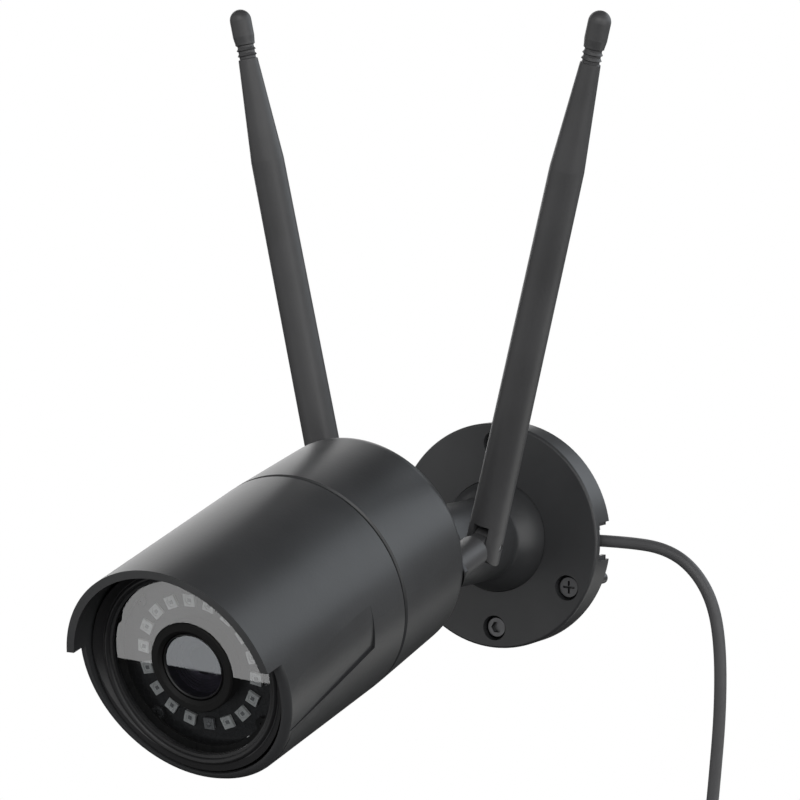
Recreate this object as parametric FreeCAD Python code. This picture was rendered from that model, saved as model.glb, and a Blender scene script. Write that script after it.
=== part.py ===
"""Wall-mounted bullet security camera with two folding aerials, as separate named pieces.

Units are millimetres.  The origin is the centre of the wall plate's back face.  The wall is
the plane y = 0, the object stands out along -Y and +Z is up.

The camera head is drawn in its own frame, with +z along the lens axis (forwards), +y up and
+x to the side, and its own origin in the seam between the front and rear shells.  The function
on_head() carries a shape from that frame to the row frame.
"""
import FreeCAD, Part
import math
import os

os.makedirs("parts", exist_ok=True)

Vector = FreeCAD.Vector

# ---------------------------------------------------------------- clearances
slide_gap = 0.30            # between faces of different moving bodies
pin_gap = 0.05              # radial running fit of a pin in its hole
seat_gap = 0.15             # spherical gap of the ball in its seat
assembly_gap = 0.10         # between fixed pieces placed side by side

# ---------------------------------------------------------------- camera head
seam_radius = 33.5          # outside radius at the seam
seam_width = 0.7            # open groove between the two shells
hood_length = 64.4          # seam to the hood's front edge, on the axis
rim_length = 58.8           # seam to the lower rim, on the axis
front_taper = 1.6           # outside radius lost from the seam to the hood's front edge
rear_taper = 0.4            # outside radius lost from the seam to the rear edge
rear_length = 37.0          # seam to the flat rear face
rear_edge_radius = 4.5      # rounding of the rear edge
hood_rake = 3.6             # degrees, top of the hood's edge further forward
rim_rake = 7.5              # degrees, top of the rim further forward
hood_end_height = 6.0       # height of the hood's end faces above the axis
rim_edge_radius = 2.2       # rounding of the lower rim
front_wall = 3.9            # front shell's wall at the seam
pocket_start = 16.5         # seam to the rear step of each shallow side pocket
pocket_end = 62.0           # seam to where the pocket's floor meets the shell's outside
pocket_drop = 7.4           # rear end of the pocket's lower step, below the axis
pocket_fall = 14.9          # front end of the pocket's lower step, below the axis
pocket_sink = 6.4           # inward shift of the pocket's floor at the rear step
pocket_turn = 14.0          # degrees above the side where the floor meets the shell's outside
rear_wall = 3.0             # thickness of the rear shell
spigot_length = 8.0         # how far the rear shell reaches into the front shell
seal_inset = 0.7            # seam seal below the shells' outside
post_inset = 6.1            # rear shell's bore to the centres of the four screw posts
post_radius = 2.8
chassis_ring_width = 7.5    # width of the chassis ring inside the front shell
chassis_ring_height = 3.0
head_tilt = 14.6            # degrees the head points down at rest

# ---------------------------------------------------------------- window and bezel
bezel_groove = 0.8          # open groove between bezel and shell
bezel_width = 4.4           # outside to the clear opening
bezel_face_length = 57.2    # seam to the bezel's raked face, on the lens axis
bezel_face_rake = 4.5
bezel_outer_rise = 3.6      # outer edge above the glass, before the raked face cuts it
bezel_cone_width = 1.7      # outer edge to the foot of the cone
bezel_cone_rise = 1.4       # foot of the cone above the glass
bezel_lip_rise = 0.9        # clear opening's edge above the glass
bead_inset = 1.6            # clear opening to the middle of the rolled bead
bead_tube_radius = 0.9
bead_rise = 1.0             # middle of the bead above the glass
bezel_foot_height = 0.8     # bezel's foot behind the back of the glass
glass_seat = 1.0            # how far the glass reaches under the bezel
glass_thickness = 2.0
glass_level = 54.0          # seam to the front of the glass, which stands square to the lens
gasket_width = 2.4
gasket_thickness = 0.6

# ---------------------------------------------------------------- lights and optics
led_count = 18              # places round the ring, one of them the light sensor
led_ring_radius = 17.4
led_size = 3.3
led_height = 0.8
board_edge_gap = 3.0        # front shell's bore to the light board's edge
window_board_gap = 2.0      # light board to the back of the glass
board_thickness = 1.6
lens_shade_gap = 0.3        # lens barrel to the shade's bore
lens_shade_width = 3.0      # shade's bore to its outside
lens_shade_proud = 0.6      # shade's front in front of the glass
lens_barrel_radius = 9.2
lens_sink = 0.8             # barrel's front below the shade's front
lens_glass_sink = 0.6       # flat front element below the barrel's front
lens_barrel_length = 21.0
lens_rim_width = 0.7        # barrel's outside to the edge of the front element
lens_mount_radius = 6.0     # threaded rear part of the barrel
lens_mount_length = 9.0
holder_size = 24.0          # square foot of the lens holder
holder_height = 14.0
filter_travel = 5.5         # slide of the filter frame between its two panes
filter_pane = 5.0
filter_thickness = 1.2
filter_rise = 1.9           # image sensor's face to the filter frame
holder_foot = 9.4           # sensor board to the back of the lens barrel
sensor_board_size = 38.0
sensor_size = 8.0
sensor_height = 1.2
main_board_width = 30.0
main_board_height = 34.0
main_board_level = -3.0     # seam to the main board's front face
processor_size = 15.0
processor_height = 1.4
spreader_height = 6.0
radio_length = 18.0
radio_width = 13.0
radio_height = 2.4
standoff_radius = 2.4
board_hole_radius = 1.4
led_post_offset = 16.2      # posts of the light board, across and up from the lens axis
main_post_across = 12.0     # posts of the main board from the lens axis
main_post_up = 14.0
status_place = (11.9, -20.5)
microphone_place = (16.9, -15.6)
screw_head_radius = 2.6
screw_head_height = 1.2

# ---------------------------------------------------------------- elbow between head and arm
elbow_back = 13.0           # rear face to the elbow pin
elbow_drop = 10.6           # elbow pin below the lens axis
elbow_radius = 8.5          # round of the eye and of the ears
elbow_eye_width = 12.0
elbow_ear_width = 5.0
elbow_pin_radius = 3.0
elbow_plate_radius = 13.5
elbow_plate_thickness = 2.5
elbow_head_radius = 5.0
elbow_head_height = 3.2

# ---------------------------------------------------------------- arm and ball
arm_reach = 73.4            # wall to the elbow pin
arm_radius = 13.0
arm_bore_radius = 5.0
arm_fillet = 2.6
ball_radius = 18.1
ball_depth = 6.2            # wall to the ball's centre
ball_wall = 2.4
seat_wall = 3.6             # wall round the ball in the base
ball_overrun = 2.0          # degrees of ball surface behind its centre plane
trunnion_radius = 1.4       # pins that the ball tilts on

# ---------------------------------------------------------------- wall base
base_radius = 36.0
base_thickness = 9.7
base_wall = 2.6
base_edge = 0.9             # rounding of the front edge
hole_inset = 6.5            # base's edge to the centres of the wall holes
hole_count = 3
wall_hole_radius = 2.3
wall_recess_radius = 4.0
wall_recess_depth = 4.2
plate_gap = 0.8             # base's inside to the back plate's edge
plate_thickness = 1.2
plate_open_radius = 7.0
plate_screw_inset = 5.6     # back plate's edge to its screws
clip_inset = 1.9            # base's inside to the cord clip
clip_gap = 1.35             # ball seat's wall to the cord clip
clip_width = 8.0
notch_height = 9.5
notch_depth = 7.5
wall_screw_length = 22.0
wall_screw_radius = 1.9     # thread beyond the wall face
wall_shank_radius = 2.1     # plain shank inside the base
wall_screw_head_radius = 3.6
wall_screw_head_height = 2.6
clamp_screw_radius = 1.5
clamp_head_radius = 3.5
clamp_head_height = 2.6

# ---------------------------------------------------------------- aerials
aerial_spacing = 25.0       # lens axis to each connector axis
aerial_drop = 7.7           # connector axis below the lens axis
aerial_standoff = 24.2      # rear face to the fold pin
mast_length = 159.3         # fold pin to tip
mast_narrow_length = 45.0   # tip to where the mast starts to narrow
mast_groove_length = 12.4   # tip to the ringed neck
mast_base_radius = 5.5
mast_kink_radius = 4.95
mast_neck_radius = 2.65
mast_tip_radius = 3.2
mast_slot = 4.8             # gap between the two cheeks
lug_radius = 5.0
collar_radius = 4.7
collar_shoulder = 6.1       # fold pin to the round part of the collar
fold_pin_radius = 1.1
aerial_nut_flats = 11.0
aerial_nut_height = 2.2
jack_radius = 3.1
left_swivel = 7.5           # degrees each mast leans outwards at rest
right_swivel = 17.3
mast_lean_back = 6.3        # degrees back from square to the connector axis

# ---------------------------------------------------------------- cord
cord_diameter = 3.8
coil_centre_z = -112.0
coil_level = -4.3           # y of the coil's middle plane
coil_mean_radius = 21.0
coil_section_width = 7.8
coil_section_depth = 7.6
socket_radius = 5.2
socket_length = 27.0
socket_bore_radius = 2.8    # takes a 5.5 mm power plug
socket_bore_depth = 10.0
socket_pin_radius = 1.05
coil_route_x = 70.5         # x where the cord comes down into the coil
tie_thickness = 0.9
tie_angle = 16.0            # degrees of the coil that the tie covers
# Corner points of the cord's route along the wall, from the base to the coil, then from the
# coil to the power socket.
cord_route = [(29.0, -3.9, 0.0), (46.0, -3.9, 0.3), (58.0, -3.9, -1.4), (66.5, -3.9, -7.0),
              (72.5, -3.9, -16.5), (75.0, -3.9, -30.0), (75.2, -4.0, -50.0), (73.5, -4.1, -72.0),
              (71.2, -4.2, -92.0), (70.6, -4.3, -104.0)]
tail_route = [(70.0, -4.3, -117.0), (69.4, -4.9, -130.0), (66.9, -5.4, -142.0)]

# ---------------------------------------------------------------- derived values
seam_half = seam_width / 2
front_radius = seam_radius - front_taper
rear_radius = seam_radius - rear_taper
front_bore_radius = seam_radius - front_wall
hood_slope = (seam_radius - front_radius) / hood_length
rear_slope = (seam_radius - rear_radius) / rear_length
bezel_radius = front_bore_radius - bezel_groove
window_open_radius = bezel_radius - bezel_width
glass_radius = window_open_radius + glass_seat
led_board_radius = front_bore_radius - board_edge_gap
lens_shade_bore = lens_barrel_radius + lens_shade_gap
lens_shade_radius = lens_shade_bore + lens_shade_width
lens_glass_radius = lens_barrel_radius - lens_rim_width
rear_bore_radius = rear_radius - rear_wall
spigot_radius = front_bore_radius - assembly_gap
glass_back = glass_level - glass_thickness
led_board_front = glass_back - window_board_gap
lens_shade_front = glass_level + lens_shade_proud
lens_barrel_front = lens_shade_front - lens_sink
board_back = led_board_front - board_thickness
lens_barrel_back = lens_barrel_front - lens_barrel_length
sensor_board_front = lens_barrel_back - holder_foot
sensor_board_back = sensor_board_front - board_thickness
filter_level = sensor_board_front + sensor_height + filter_rise
main_board_back = main_board_level - board_thickness
elbow_level = -(rear_length + elbow_back)
ear_inner = elbow_eye_width / 2 + slide_gap
ear_outer = ear_inner + elbow_ear_width
fold_level = -(rear_length + aerial_standoff)
lug_width = mast_slot - 2 * slide_gap
ball_rear = ball_depth - ball_radius * math.sin(math.radians(ball_overrun))
seat_radius = ball_radius + seat_gap
seat_outer_radius = seat_radius + seat_wall
dome_radius = ball_radius - ball_wall - seat_gap
cavity_radius = base_radius - base_wall
cavity_depth = base_thickness - base_wall
hole_circle_radius = base_radius - hole_inset
plate_radius = cavity_radius - plate_gap
mast_kink = mast_length - mast_narrow_length
mast_groove = mast_length - mast_groove_length
cord_radius = cord_diameter / 2


# ---------------------------------------------------------------- shape helpers
def revolve(points, angle=360.0):
    """Solid of revolution about z from (radius, height) corner points."""
    corners = [Vector(radius, 0, height) for radius, height in points]
    wire = Part.makePolygon(corners + [corners[0]])
    return Part.Face(wire).revolve(Vector(0, 0, 0), Vector(0, 0, 1), angle)


def disc(radius, low, high, x=0.0, y=0.0):
    """Cylinder along z between two heights."""
    return Part.makeCylinder(radius, high - low, Vector(x, y, low))


def ring(outer, inner, low, high, x=0.0, y=0.0):
    """Tube along z between two heights."""
    return disc(outer, low, high, x, y).cut(disc(inner, low - 1, high + 1, x, y))


def block(x_low, x_high, y_low, y_high, z_low, z_high):
    """Rectangular block between three pairs of limits."""
    corner = Vector(x_low, y_low, z_low)
    return Part.makeBox(x_high - x_low, y_high - y_low, z_high - z_low, corner)


def cross_pin(radius, x_low, x_high, y=0.0, z=0.0):
    """Cylinder along x between two limits."""
    return Part.makeCylinder(radius, x_high - x_low, Vector(x_low, y, z), Vector(1, 0, 0))


def ball(radius, z):
    """Full sphere on the z axis."""
    return Part.makeSphere(radius, Vector(0, 0, z))


def prism(flats, low, high, x=0.0, y=0.0):
    """Hexagonal prism along z, measured across its flats."""
    corner_radius = flats / 2 / math.cos(math.radians(30))
    corners = []
    for index in range(7):
        turn = math.radians(60 * index)
        corners.append(Vector(x + corner_radius * math.cos(turn), y + corner_radius * math.sin(turn), low))
    return Part.Face(Part.makePolygon(corners)).extrude(Vector(0, 0, high - low))


def turned(shape, angle, centre=Vector(0, 0, 0), axis=Vector(0, 0, 1)):
    """Copy of a shape, rotated about an axis through a point."""
    copy = shape.copy()
    copy.rotate(centre, axis, angle)
    return copy


def moved(shape, x, y, z):
    """Copy of a shape, shifted."""
    copy = shape.copy()
    copy.translate(Vector(x, y, z))
    return copy


def joined(shapes):
    """Union of several shapes as one clean solid."""
    result = shapes[0]
    for shape in shapes[1:]:
        result = result.fuse(shape)
    return result.removeSplitter()


def group(shapes):
    """Several separate solids kept together in one piece."""
    return Part.makeCompound(shapes)


def around(radius, degrees):
    """Point on a circle in the xy plane."""
    turn = math.radians(degrees)
    return radius * math.cos(turn), radius * math.sin(turn)


# ---------------------------------------------------------------- frames
def on_wall(shape):
    """Carry a shape from the wall frame (z out of the wall, y up) to the row frame."""
    return turned(shape, 90, axis=Vector(1, 0, 0))


def on_head(shape):
    """Carry a shape from the head frame to the row frame, with the elbow pin in place."""
    centred = moved(shape, 0, elbow_drop, -elbow_level)
    tilted = turned(centred, 90 + head_tilt, axis=Vector(1, 0, 0))
    return moved(tilted, 0, -arm_reach, 0)


def on_rim(shape):
    """Carry a shape from the rim frame (z = 0 on the raked rim plane) to the head frame."""
    return moved(turned(shape, rim_rake, axis=Vector(1, 0, 0)), 0, 0, rim_length)


def ahead_of(length, rake):
    """Everything in front of a raked plane in the head frame."""
    space = block(-60, 60, -60, 60, 0, 40)
    return moved(turned(space, rake, axis=Vector(1, 0, 0)), 0, 0, length)


def front_radius_at(level):
    """Outside radius of the front shell at a distance from the seam."""
    return seam_radius - hood_slope * level


# ---------------------------------------------------------------- head shells
def pocket_floor_section(level):
    """Circle of the side pocket's floor, shifted inwards less and less towards the front."""
    sink = pocket_sink * (pocket_end - level) / (pocket_end - pocket_start)
    x, y = around(sink, pocket_turn)
    return Part.Wire([Part.makeCircle(front_radius_at(level) - sink + 0.05, Vector(x, y, level))])


def side_pocket():
    """Shallow pocket in one side of the front shell, stepped at its rear and along its lower edge."""
    front = pocket_end - 1
    floor = Part.makeLoft([pocket_floor_section(0.0), pocket_floor_section(front)], True, True)
    top = seam_radius * math.sin(math.radians(pocket_turn))
    corners = [Vector(10, top, pocket_start), Vector(10, -pocket_drop, pocket_start),
               Vector(10, -pocket_fall, front), Vector(10, top, front)]
    outline = Part.Face(Part.makePolygon(corners + [corners[0]])).extrude(Vector(seam_radius, 0, 0))
    return outline.cut(floor)


def make_front_shell():
    """Tapered front shell with the half-round hood ahead of its raked rim, and a pocket in each side."""
    tip = hood_length + 6
    bevel = 0.5
    skin = revolve([(front_bore_radius, seam_half),
                    (seam_radius - bevel, seam_half),
                    (seam_radius, seam_half + bevel),
                    (front_radius_at(tip), tip),
                    (front_bore_radius, tip)])
    lower_space = block(-60, 60, -60, hood_end_height, 0, 120)
    skin = skin.cut(ahead_of(hood_length, hood_rake))
    skin = skin.cut(ahead_of(rim_length, rim_rake).common(lower_space))
    rim_outside = front_radius_at(rim_length) / math.cos(math.radians(rim_rake))
    corner = revolve([(rim_outside - rim_edge_radius, -rim_edge_radius),
                      (rim_outside + 4, -rim_edge_radius),
                      (rim_outside + 4, 4),
                      (rim_outside - rim_edge_radius, 4)])
    rounding = Part.makeTorus(rim_outside - rim_edge_radius, rim_edge_radius,
                              Vector(0, 0, -rim_edge_radius))
    corner = on_rim(corner.cut(rounding)).common(lower_space)
    pocket = side_pocket()
    return skin.cut(corner).cut(pocket).cut(pocket.mirror(Vector(0, 0, 0), Vector(1, 0, 0)))


def make_seam_seal():
    """Flat rubber seal that shows as the dark line between the shells."""
    return ring(seam_radius - seal_inset, spigot_radius + 0.6, -seam_half, seam_half)


def chassis_posts():
    """Places of the four screw posts of the inner chassis."""
    return [around(rear_bore_radius - post_inset, degrees) for degrees in (38, 142, 240, 300)]


def make_rear_shell():
    """Rear cup with a rounded rear edge, a spigot for the front shell and its screw holes."""
    bevel = 0.5
    edge = rear_edge_radius
    cup = revolve([(0, -seam_half),
                   (seam_radius - bevel, -seam_half),
                   (seam_radius, -seam_half - bevel),
                   (rear_radius, edge - rear_length),
                   (rear_radius - edge, edge - rear_length),
                   (rear_radius - edge, -rear_length),
                   (0, -rear_length)])
    edge_ring = Part.makeTorus(rear_radius - edge, edge, Vector(0, 0, edge - rear_length))
    cup = cup.fuse(edge_ring)
    cup = cup.fuse(disc(spigot_radius, -seam_half - 1, spigot_length))
    hollow = disc(rear_bore_radius, rear_wall - rear_length, -seam_half - 4)
    hollow = hollow.fuse(disc(spigot_radius - 2, -seam_half - 5, spigot_length + 1))
    cup = cup.cut(hollow)
    for x, y in chassis_posts():
        cup = cup.cut(disc(board_hole_radius + 0.2, -rear_length - 1, -rear_length + 10, x, y))
        cup = cup.cut(disc(screw_head_radius + 0.4, -rear_length - 1, -rear_length + 1.2, x, y))
    for side in (-1, 1):
        x = side * aerial_spacing
        cup = cup.cut(disc(jack_radius + assembly_gap, -rear_length - 1, -rear_length + 10, x, -aerial_drop))
    return cup.removeSplitter()


def make_chassis():
    """Inner frame: a ring inside the front shell on four posts from the rear wall."""
    low = spigot_length + slide_gap
    outside = front_bore_radius - assembly_gap
    plate = ring(outside, outside - chassis_ring_width, low, low + chassis_ring_height)
    parts = [plate]
    for x, y in chassis_posts():
        parts.append(disc(post_radius, rear_wall - rear_length, low + 1, x, y))
    frame = joined(parts)
    for x, y in chassis_posts():
        frame = frame.cut(disc(board_hole_radius - 0.1, -rear_length, 12 - rear_length, x, y))
    return frame


def pan_screw(head_radius, head_height, shank_radius, length, drive="cross"):
    """Screw along -z with its head's seat at z = 0 and a recess for the driver."""
    bevel = min(0.5, head_height / 3)
    head = revolve([(0, 0), (head_radius, 0), (head_radius, head_height - bevel),
                    (head_radius - bevel, head_height), (0, head_height)])
    screw = head.fuse(disc(shank_radius, -length, 0.2))
    depth = head_height * 0.6
    if drive == "cross":
        half = head_radius * 0.55
        slot = block(-half, half, -0.35, 0.35, head_height - depth, head_height + 1)
        return screw.cut(slot).cut(turned(slot, 90))
    return screw.cut(prism(head_radius * 0.95, head_height - depth, head_height + 1))


def make_shell_screws():
    """Four screws that hold the rear shell to the chassis."""
    screw = turned(pan_screw(screw_head_radius, 1.1, board_hole_radius - 0.15, 10), 180, axis=Vector(1, 0, 0))
    return group([moved(screw, x, y, 1.2 - rear_length) for x, y in chassis_posts()])


# ---------------------------------------------------------------- window
def make_bezel_ring():
    """Trim ring round the window: a cone cut by a raked face, and a rolled bead near the opening."""
    foot = glass_back - bezel_foot_height
    seat = glass_radius + assembly_gap
    body = revolve([(seat, foot),
                    (bezel_radius, foot),
                    (bezel_radius, glass_level + bezel_outer_rise),
                    (bezel_radius - bezel_cone_width, glass_level + bezel_cone_rise),
                    (window_open_radius, glass_level + bezel_lip_rise),
                    (window_open_radius, glass_level),
                    (seat, glass_level)])
    body = body.cut(ahead_of(bezel_face_length, bezel_face_rake))
    bead = Part.makeTorus(window_open_radius + bead_inset, bead_tube_radius,
                          Vector(0, 0, glass_level + bead_rise))
    return joined([body, bead])


def make_window_glass():
    """Round flat window with an opening for the lens shade."""
    return ring(glass_radius, lens_shade_radius + assembly_gap, glass_back, glass_level)


def make_window_gasket():
    """Flat gasket behind the window."""
    return ring(glass_radius, glass_radius - gasket_width, glass_back - gasket_thickness, glass_back)


# ---------------------------------------------------------------- light ring
def led_places():
    """Angles of the ring's places, with the light sensor's place at the bottom left out."""
    step = 360.0 / led_count
    return [270 + step * index for index in range(1, led_count)]


def make_led_board():
    """Round board with a clear centre for the lens."""
    board = ring(led_board_radius, lens_barrel_radius + 0.6, board_back, led_board_front)
    for x, y in led_posts():
        board = board.cut(disc(board_hole_radius, board_back - 1, led_board_front + 1, x, y))
    return board


def led_chip(degrees):
    """One square emitter with a shallow round window."""
    half = led_size / 2
    top = led_board_front + led_height
    chip = block(led_ring_radius - half, led_ring_radius + half, -half, half, led_board_front, top)
    chip = chip.cut(disc(half * 0.72, top - 0.25, top + 1, led_ring_radius, 0))
    return turned(chip, degrees)


def make_infrared_leds():
    """Ring of square emitters."""
    return group([led_chip(degrees) for degrees in led_places()])


def make_light_sensor():
    """Ambient-light sensor in the bottom place of the ring."""
    half = led_size / 2 - 0.1
    top = led_board_front + led_height
    body = block(-half, half, -led_ring_radius - half, -led_ring_radius + half, led_board_front, top)
    dome = Part.makeSphere(0.7, Vector(0, -led_ring_radius, top))
    return joined([body, dome])


def make_status_led():
    """Small round status light beside the ring."""
    x, y = status_place
    return disc(0.7, led_board_front, led_board_front + 0.6, x, y)


def make_microphone():
    """Microphone capsule in a rubber sleeve beside the ring."""
    x, y = microphone_place
    capsule = disc(1.9, led_board_front, led_board_front + 0.9, x, y)
    return capsule.cut(disc(0.5, led_board_front + 0.4, led_board_front + 2, x, y))


# ---------------------------------------------------------------- optics
def make_lens_shade():
    """Rubber ring that keeps the ring's light off the lens."""
    lip = 0.9
    return revolve([(lens_shade_bore, led_board_front),
                    (lens_shade_radius, led_board_front),
                    (lens_shade_radius, lens_shade_front - 0.4),
                    (lens_shade_radius - 0.4, lens_shade_front),
                    (lens_shade_bore + lip, lens_shade_front),
                    (lens_shade_bore, lens_shade_front - lip)])


def make_lens_barrel():
    """Lens barrel: wide nose and a narrower threaded tail."""
    nose_back = lens_barrel_back + lens_mount_length
    front = lens_barrel_front
    rim = lens_glass_radius + assembly_gap
    return revolve([(4.2, lens_barrel_back),
                    (lens_mount_radius, lens_barrel_back),
                    (lens_mount_radius, nose_back),
                    (lens_barrel_radius, nose_back + 1.5),
                    (lens_barrel_radius, front - 0.3),
                    (lens_barrel_radius - 0.3, front),
                    (rim, front - 0.5),
                    (rim, front - 3.5),
                    (4.2, front - 5.0)])


def make_lens_elements():
    """Front and rear glass elements of the lens."""
    front = disc(lens_glass_radius, lens_barrel_front - 3.4, lens_barrel_front - lens_glass_sink)
    middle = disc(4.1, lens_barrel_back + 8, lens_barrel_back + 10.5)
    rear = disc(4.1, lens_barrel_back + 0.5, lens_barrel_back + 2.6)
    return group([front, middle, rear])


def make_lens_holder():
    """Holder on the sensor board, with a slot that the filter frame slides in."""
    half = holder_size / 2
    foot_top = lens_barrel_back - 1.0
    body = block(-half, half, -half, half, sensor_board_front, foot_top)
    body = body.fuse(disc(lens_mount_radius + 2.2, foot_top - 0.5, lens_barrel_back + 7))
    body = body.cut(disc(lens_mount_radius + pin_gap, foot_top - 3, lens_barrel_back + 8))
    body = body.cut(block(-half + 1.5, half - 1.5, -5.2, 5.2, sensor_board_front - 1, foot_top - 1.6))
    return body.cut(block(-half + 1.5, half - 1.5, 5.0, half - 1.5, sensor_board_front - 1, foot_top - 1.6))


def filter_outline(length, width, x_centre):
    """Flat rectangle of the filter frame's thickness, centred across the lens axis."""
    return block(x_centre - length / 2, x_centre + length / 2, -width / 2, width / 2,
                 filter_level, filter_level + filter_thickness)


def make_filter_frame():
    """Sliding frame that carries two panes side by side, resting with the day pane in place."""
    frame = filter_outline(filter_travel + filter_pane + 2, 7.4, filter_travel / 2)
    frame = frame.cut(filter_outline(filter_pane, filter_pane, 0))
    return frame.cut(filter_outline(filter_pane, filter_pane, filter_travel))


def make_filter_panes():
    """Day pane and night pane of the filter."""
    day = filter_outline(filter_pane, filter_pane, 0)
    night = filter_outline(filter_pane, filter_pane, filter_travel)
    return group([day, night])


def make_filter_coil():
    """Coil that drives the filter frame, on the sensor board inside the holder."""
    winding = cross_pin(2.0, -5.0, 5.0, 7.9, sensor_board_front + 2.4)
    ends = [block(x, x + 0.8, 5.7, 10.1, sensor_board_front, sensor_board_front + 4.8) for x in (-5.8, 5.0)]
    return joined([winding] + ends)


def make_sensor_board():
    """Square board that carries the image sensor and the lens holder."""
    half = sensor_board_size / 2
    board = block(-half, half, -half, half, sensor_board_back, sensor_board_front)
    for x, y in led_posts():
        board = board.cut(disc(board_hole_radius, sensor_board_back - 1, sensor_board_front + 1, x, y))
    for x, y in main_posts():
        board = board.cut(disc(board_hole_radius, sensor_board_back - 1, sensor_board_front + 1, x, y))
    return board


def make_image_sensor():
    """Image sensor chip behind the lens."""
    half = sensor_size / 2
    return block(-half, half, -half, half, sensor_board_front, sensor_board_front + sensor_height)


# ---------------------------------------------------------------- electronics
def led_posts():
    """Places of the three posts between the sensor board and the light board."""
    offset = led_post_offset
    return [(-offset, -offset), (-offset, offset), (offset, offset)]


def main_posts():
    """Places of the posts between the main board and the sensor board."""
    return [(side * main_post_across, up * main_post_up) for side in (-1, 1) for up in (-1, 1)]


def make_main_board():
    """Main board behind the seam, held on the sensor board's posts."""
    across = main_board_width / 2
    up = main_board_height / 2
    board = block(-across, across, -up, up, main_board_back, main_board_level)
    for x, y in main_posts():
        board = board.cut(disc(board_hole_radius, main_board_back - 1, main_board_level + 1, x, y))
    return board


def make_processor():
    """Image processor on the main board's rear face."""
    half = processor_size / 2
    return block(-half, half, -half, half, main_board_back - processor_height, main_board_back)


def make_heat_spreader():
    """Finned plate on the processor."""
    half = processor_size / 2 + 1
    base = main_board_back - processor_height
    plate = block(-half, half, -half, half, base - 1.5, base)
    fins = []
    for index in range(5):
        x = -half + index * (2 * half - 1.2) / 4
        fins.append(block(x, x + 1.2, -half, half, base - spreader_height, base - 1.4))
    return joined([plate] + fins)


def make_radio_module():
    """Shielded wireless module on the main board's front face."""
    return block(-radio_length / 2, radio_length / 2, -radio_width / 2, radio_width / 2,
                 main_board_level, main_board_level + radio_height)


def make_standoffs():
    """Threaded posts between the three boards."""
    posts = []
    for x, y in led_posts():
        posts.append(ring(standoff_radius, board_hole_radius - 0.2, sensor_board_front, board_back, x, y))
    for x, y in main_posts():
        posts.append(ring(standoff_radius, board_hole_radius - 0.2, main_board_level, sensor_board_back, x, y))
    return group(posts)


def make_board_screws():
    """Screws that hold the light board and the main board to their posts."""
    shank = board_hole_radius - 0.25
    front = pan_screw(screw_head_radius - 0.4, screw_head_height, shank, 5)
    rear = turned(front, 180, axis=Vector(1, 0, 0))
    screws = [moved(front, x, y, led_board_front) for x, y in led_posts()]
    screws += [moved(rear, x, y, main_board_back) for x, y in main_posts()]
    return group(screws)


# ---------------------------------------------------------------- elbow
def make_elbow_bracket():
    """Plate on the rear shell with two ears for the elbow bolt."""
    plate = disc(elbow_plate_radius, -rear_length - elbow_plate_thickness, -rear_length, 0, -elbow_drop)
    parts = [plate]
    for low, high in ((-ear_outer, -ear_inner), (ear_inner, ear_outer)):
        parts.append(block(low, high, -elbow_drop - elbow_radius, -elbow_drop + elbow_radius,
                           elbow_level, -rear_length - 0.5))
        parts.append(cross_pin(elbow_radius, low, high, -elbow_drop, elbow_level))
    bracket = joined(parts)
    hole = cross_pin(elbow_pin_radius + pin_gap, -ear_outer - 1, ear_outer + 1, -elbow_drop, elbow_level)
    return bracket.cut(hole)


def make_elbow_bolt():
    """Clamp bolt through the ears and the arm's eye, with a socket head."""
    screw = pan_screw(elbow_head_radius, elbow_head_height, elbow_pin_radius, 2 * ear_outer + 1.5, "socket")
    across = turned(screw, 90, axis=Vector(0, 1, 0))
    return moved(across, ear_outer, -elbow_drop, elbow_level)


# ---------------------------------------------------------------- arm, ball and dome (wall frame)
def make_arm():
    """Arm casting: hollow ball at the wall end, straight neck and the eye of the elbow."""
    shoulder = arm_reach - elbow_radius - 5.5
    neck = revolve([(0, ball_depth), (arm_radius, ball_depth), (arm_radius, shoulder - 5),
                    (elbow_radius + 0.5, shoulder), (0, shoulder)])
    outside = ball(ball_radius, ball_depth).fuse(neck)
    joint_level = ball_depth + math.sqrt(ball_radius ** 2 - arm_radius ** 2)
    crease = [edge for edge in outside.Edges
              if abs(edge.BoundBox.ZMin - joint_level) < 0.01 and abs(edge.BoundBox.ZMax - joint_level) < 0.01]
    outside = outside.makeFillet(arm_fillet, crease)
    half = elbow_eye_width / 2
    outside = outside.fuse(block(-half, half, -elbow_radius, elbow_radius, shoulder - 4, arm_reach))
    outside = outside.fuse(cross_pin(elbow_radius, -half, half, 0, arm_reach))
    outside = outside.cut(cross_pin(elbow_pin_radius + pin_gap, -half - 1, half + 1, 0, arm_reach))
    outside = outside.cut(ball(ball_radius - ball_wall, ball_depth))
    outside = outside.cut(disc(arm_bore_radius, 0, shoulder - 9))
    outside = outside.cut(block(-40, 40, -40, 40, -40, ball_rear))
    trunnion = cross_pin(trunnion_radius + pin_gap, -40, 40, 0, ball_depth)
    slot = block(-40, 40, -trunnion_radius - pin_gap, trunnion_radius + pin_gap, 0, ball_depth)
    return outside.cut(trunnion).cut(slot)


def make_friction_dome():
    """Dome inside the ball, on a hub in the back plate, with the two pins that the ball tilts on."""
    low = plate_thickness + 0.5
    dome = ball(dome_radius, ball_depth).common(disc(40, low, ball_depth + 5.5))
    dome = dome.fuse(disc(plate_open_radius - pin_gap, 0.2, low + 1))
    reach = math.sqrt((ball_radius - 0.3) ** 2 - trunnion_radius ** 2)
    dome = dome.fuse(cross_pin(trunnion_radius, -reach, reach, 0, ball_depth))
    return dome.cut(disc(arm_bore_radius, -1, 40)).removeSplitter()


def make_arm_cable():
    """Stretch of the cable that lies inside the arm's bore."""
    return disc(cord_radius, ball_depth + 8, arm_reach - elbow_radius - 15)


# ---------------------------------------------------------------- wall base (wall frame)
def wall_holes():
    """Centres of the wall screw holes, the first at the top."""
    return [around(hole_circle_radius, 90 + 360.0 / hole_count * index) for index in range(hole_count)]


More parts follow.
